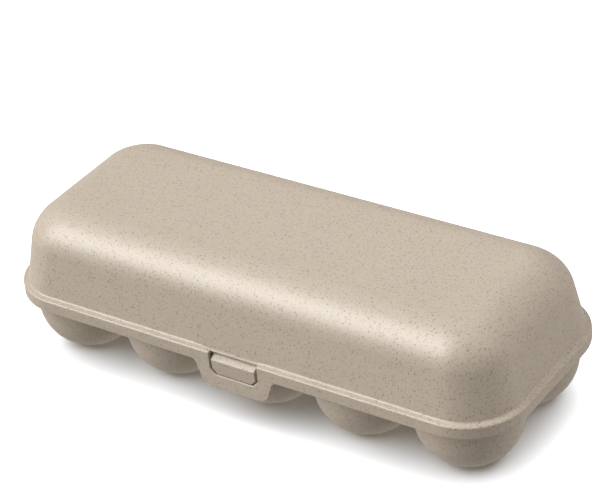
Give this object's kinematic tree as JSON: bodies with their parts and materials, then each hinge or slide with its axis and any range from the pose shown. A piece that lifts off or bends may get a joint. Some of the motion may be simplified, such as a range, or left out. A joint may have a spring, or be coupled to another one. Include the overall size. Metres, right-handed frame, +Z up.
{
  "type": "egg carton",
  "caption": "Hinged plastic egg carton with round cups in two rows, a deep domed lid and a springy front latch plate.",
  "frame": {"origin": "on the surface it stands on, below the middle of the carton's outer box", "axes": "+Z up, +X along the rows of cups to the right as seen from the latch, -Y towards the latch, +Y towards the hinge"},
  "size_m": [0.258, 0.1074, 0.0722],
  "materials": {
    "lid_plastic": "satin, warm beige with fine brown flecks",
    "tray_plastic": "satin, warm beige with fine brown flecks",
    "pin_plastic": "satin, warm beige"
  },
  "bodies": {
    "base": {"base_deck": "tray_plastic", "egg_cup_front_1": "tray_plastic", "egg_cup_front_2": "tray_plastic", "egg_cup_front_3": "tray_plastic", "egg_cup_front_4": "tray_plastic", "egg_cup_front_5": "tray_plastic", "egg_cup_rear_1": "tray_plastic", "egg_cup_rear_2": "tray_plastic", "egg_cup_rear_3": "tray_plastic", "egg_cup_rear_4": "tray_plastic", "egg_cup_rear_5": "tray_plastic", "catch_tab": "tray_plastic", "hinge_bracket_left": "tray_plastic", "hinge_bracket_right": "tray_plastic", "hinge_pin_left": "pin_plastic", "hinge_pin_right": "pin_plastic"},
    "lid": {"lid_shell": "lid_plastic", "lid_knuckle_left": "lid_plastic", "lid_knuckle_right": "lid_plastic"},
    "latch": {"latch_plate": "lid_plastic"}
  },
  "joints": [
    {"name": "lid_hinge", "type": "hinge", "parent": "base", "child": "lid", "pos_m": [0, 0.05126, 0.0269], "axis": [-1, 0, 0], "range_deg": [0, 145]},
    {"name": "latch_flex", "type": "hinge", "parent": "lid", "child": "latch", "pos_m": [0, -0.05224, 0.02965], "axis": [-1, 0, 0], "range_deg": [0, 16], "stiffness_Nm_per_rad": 0.3}
  ]
}
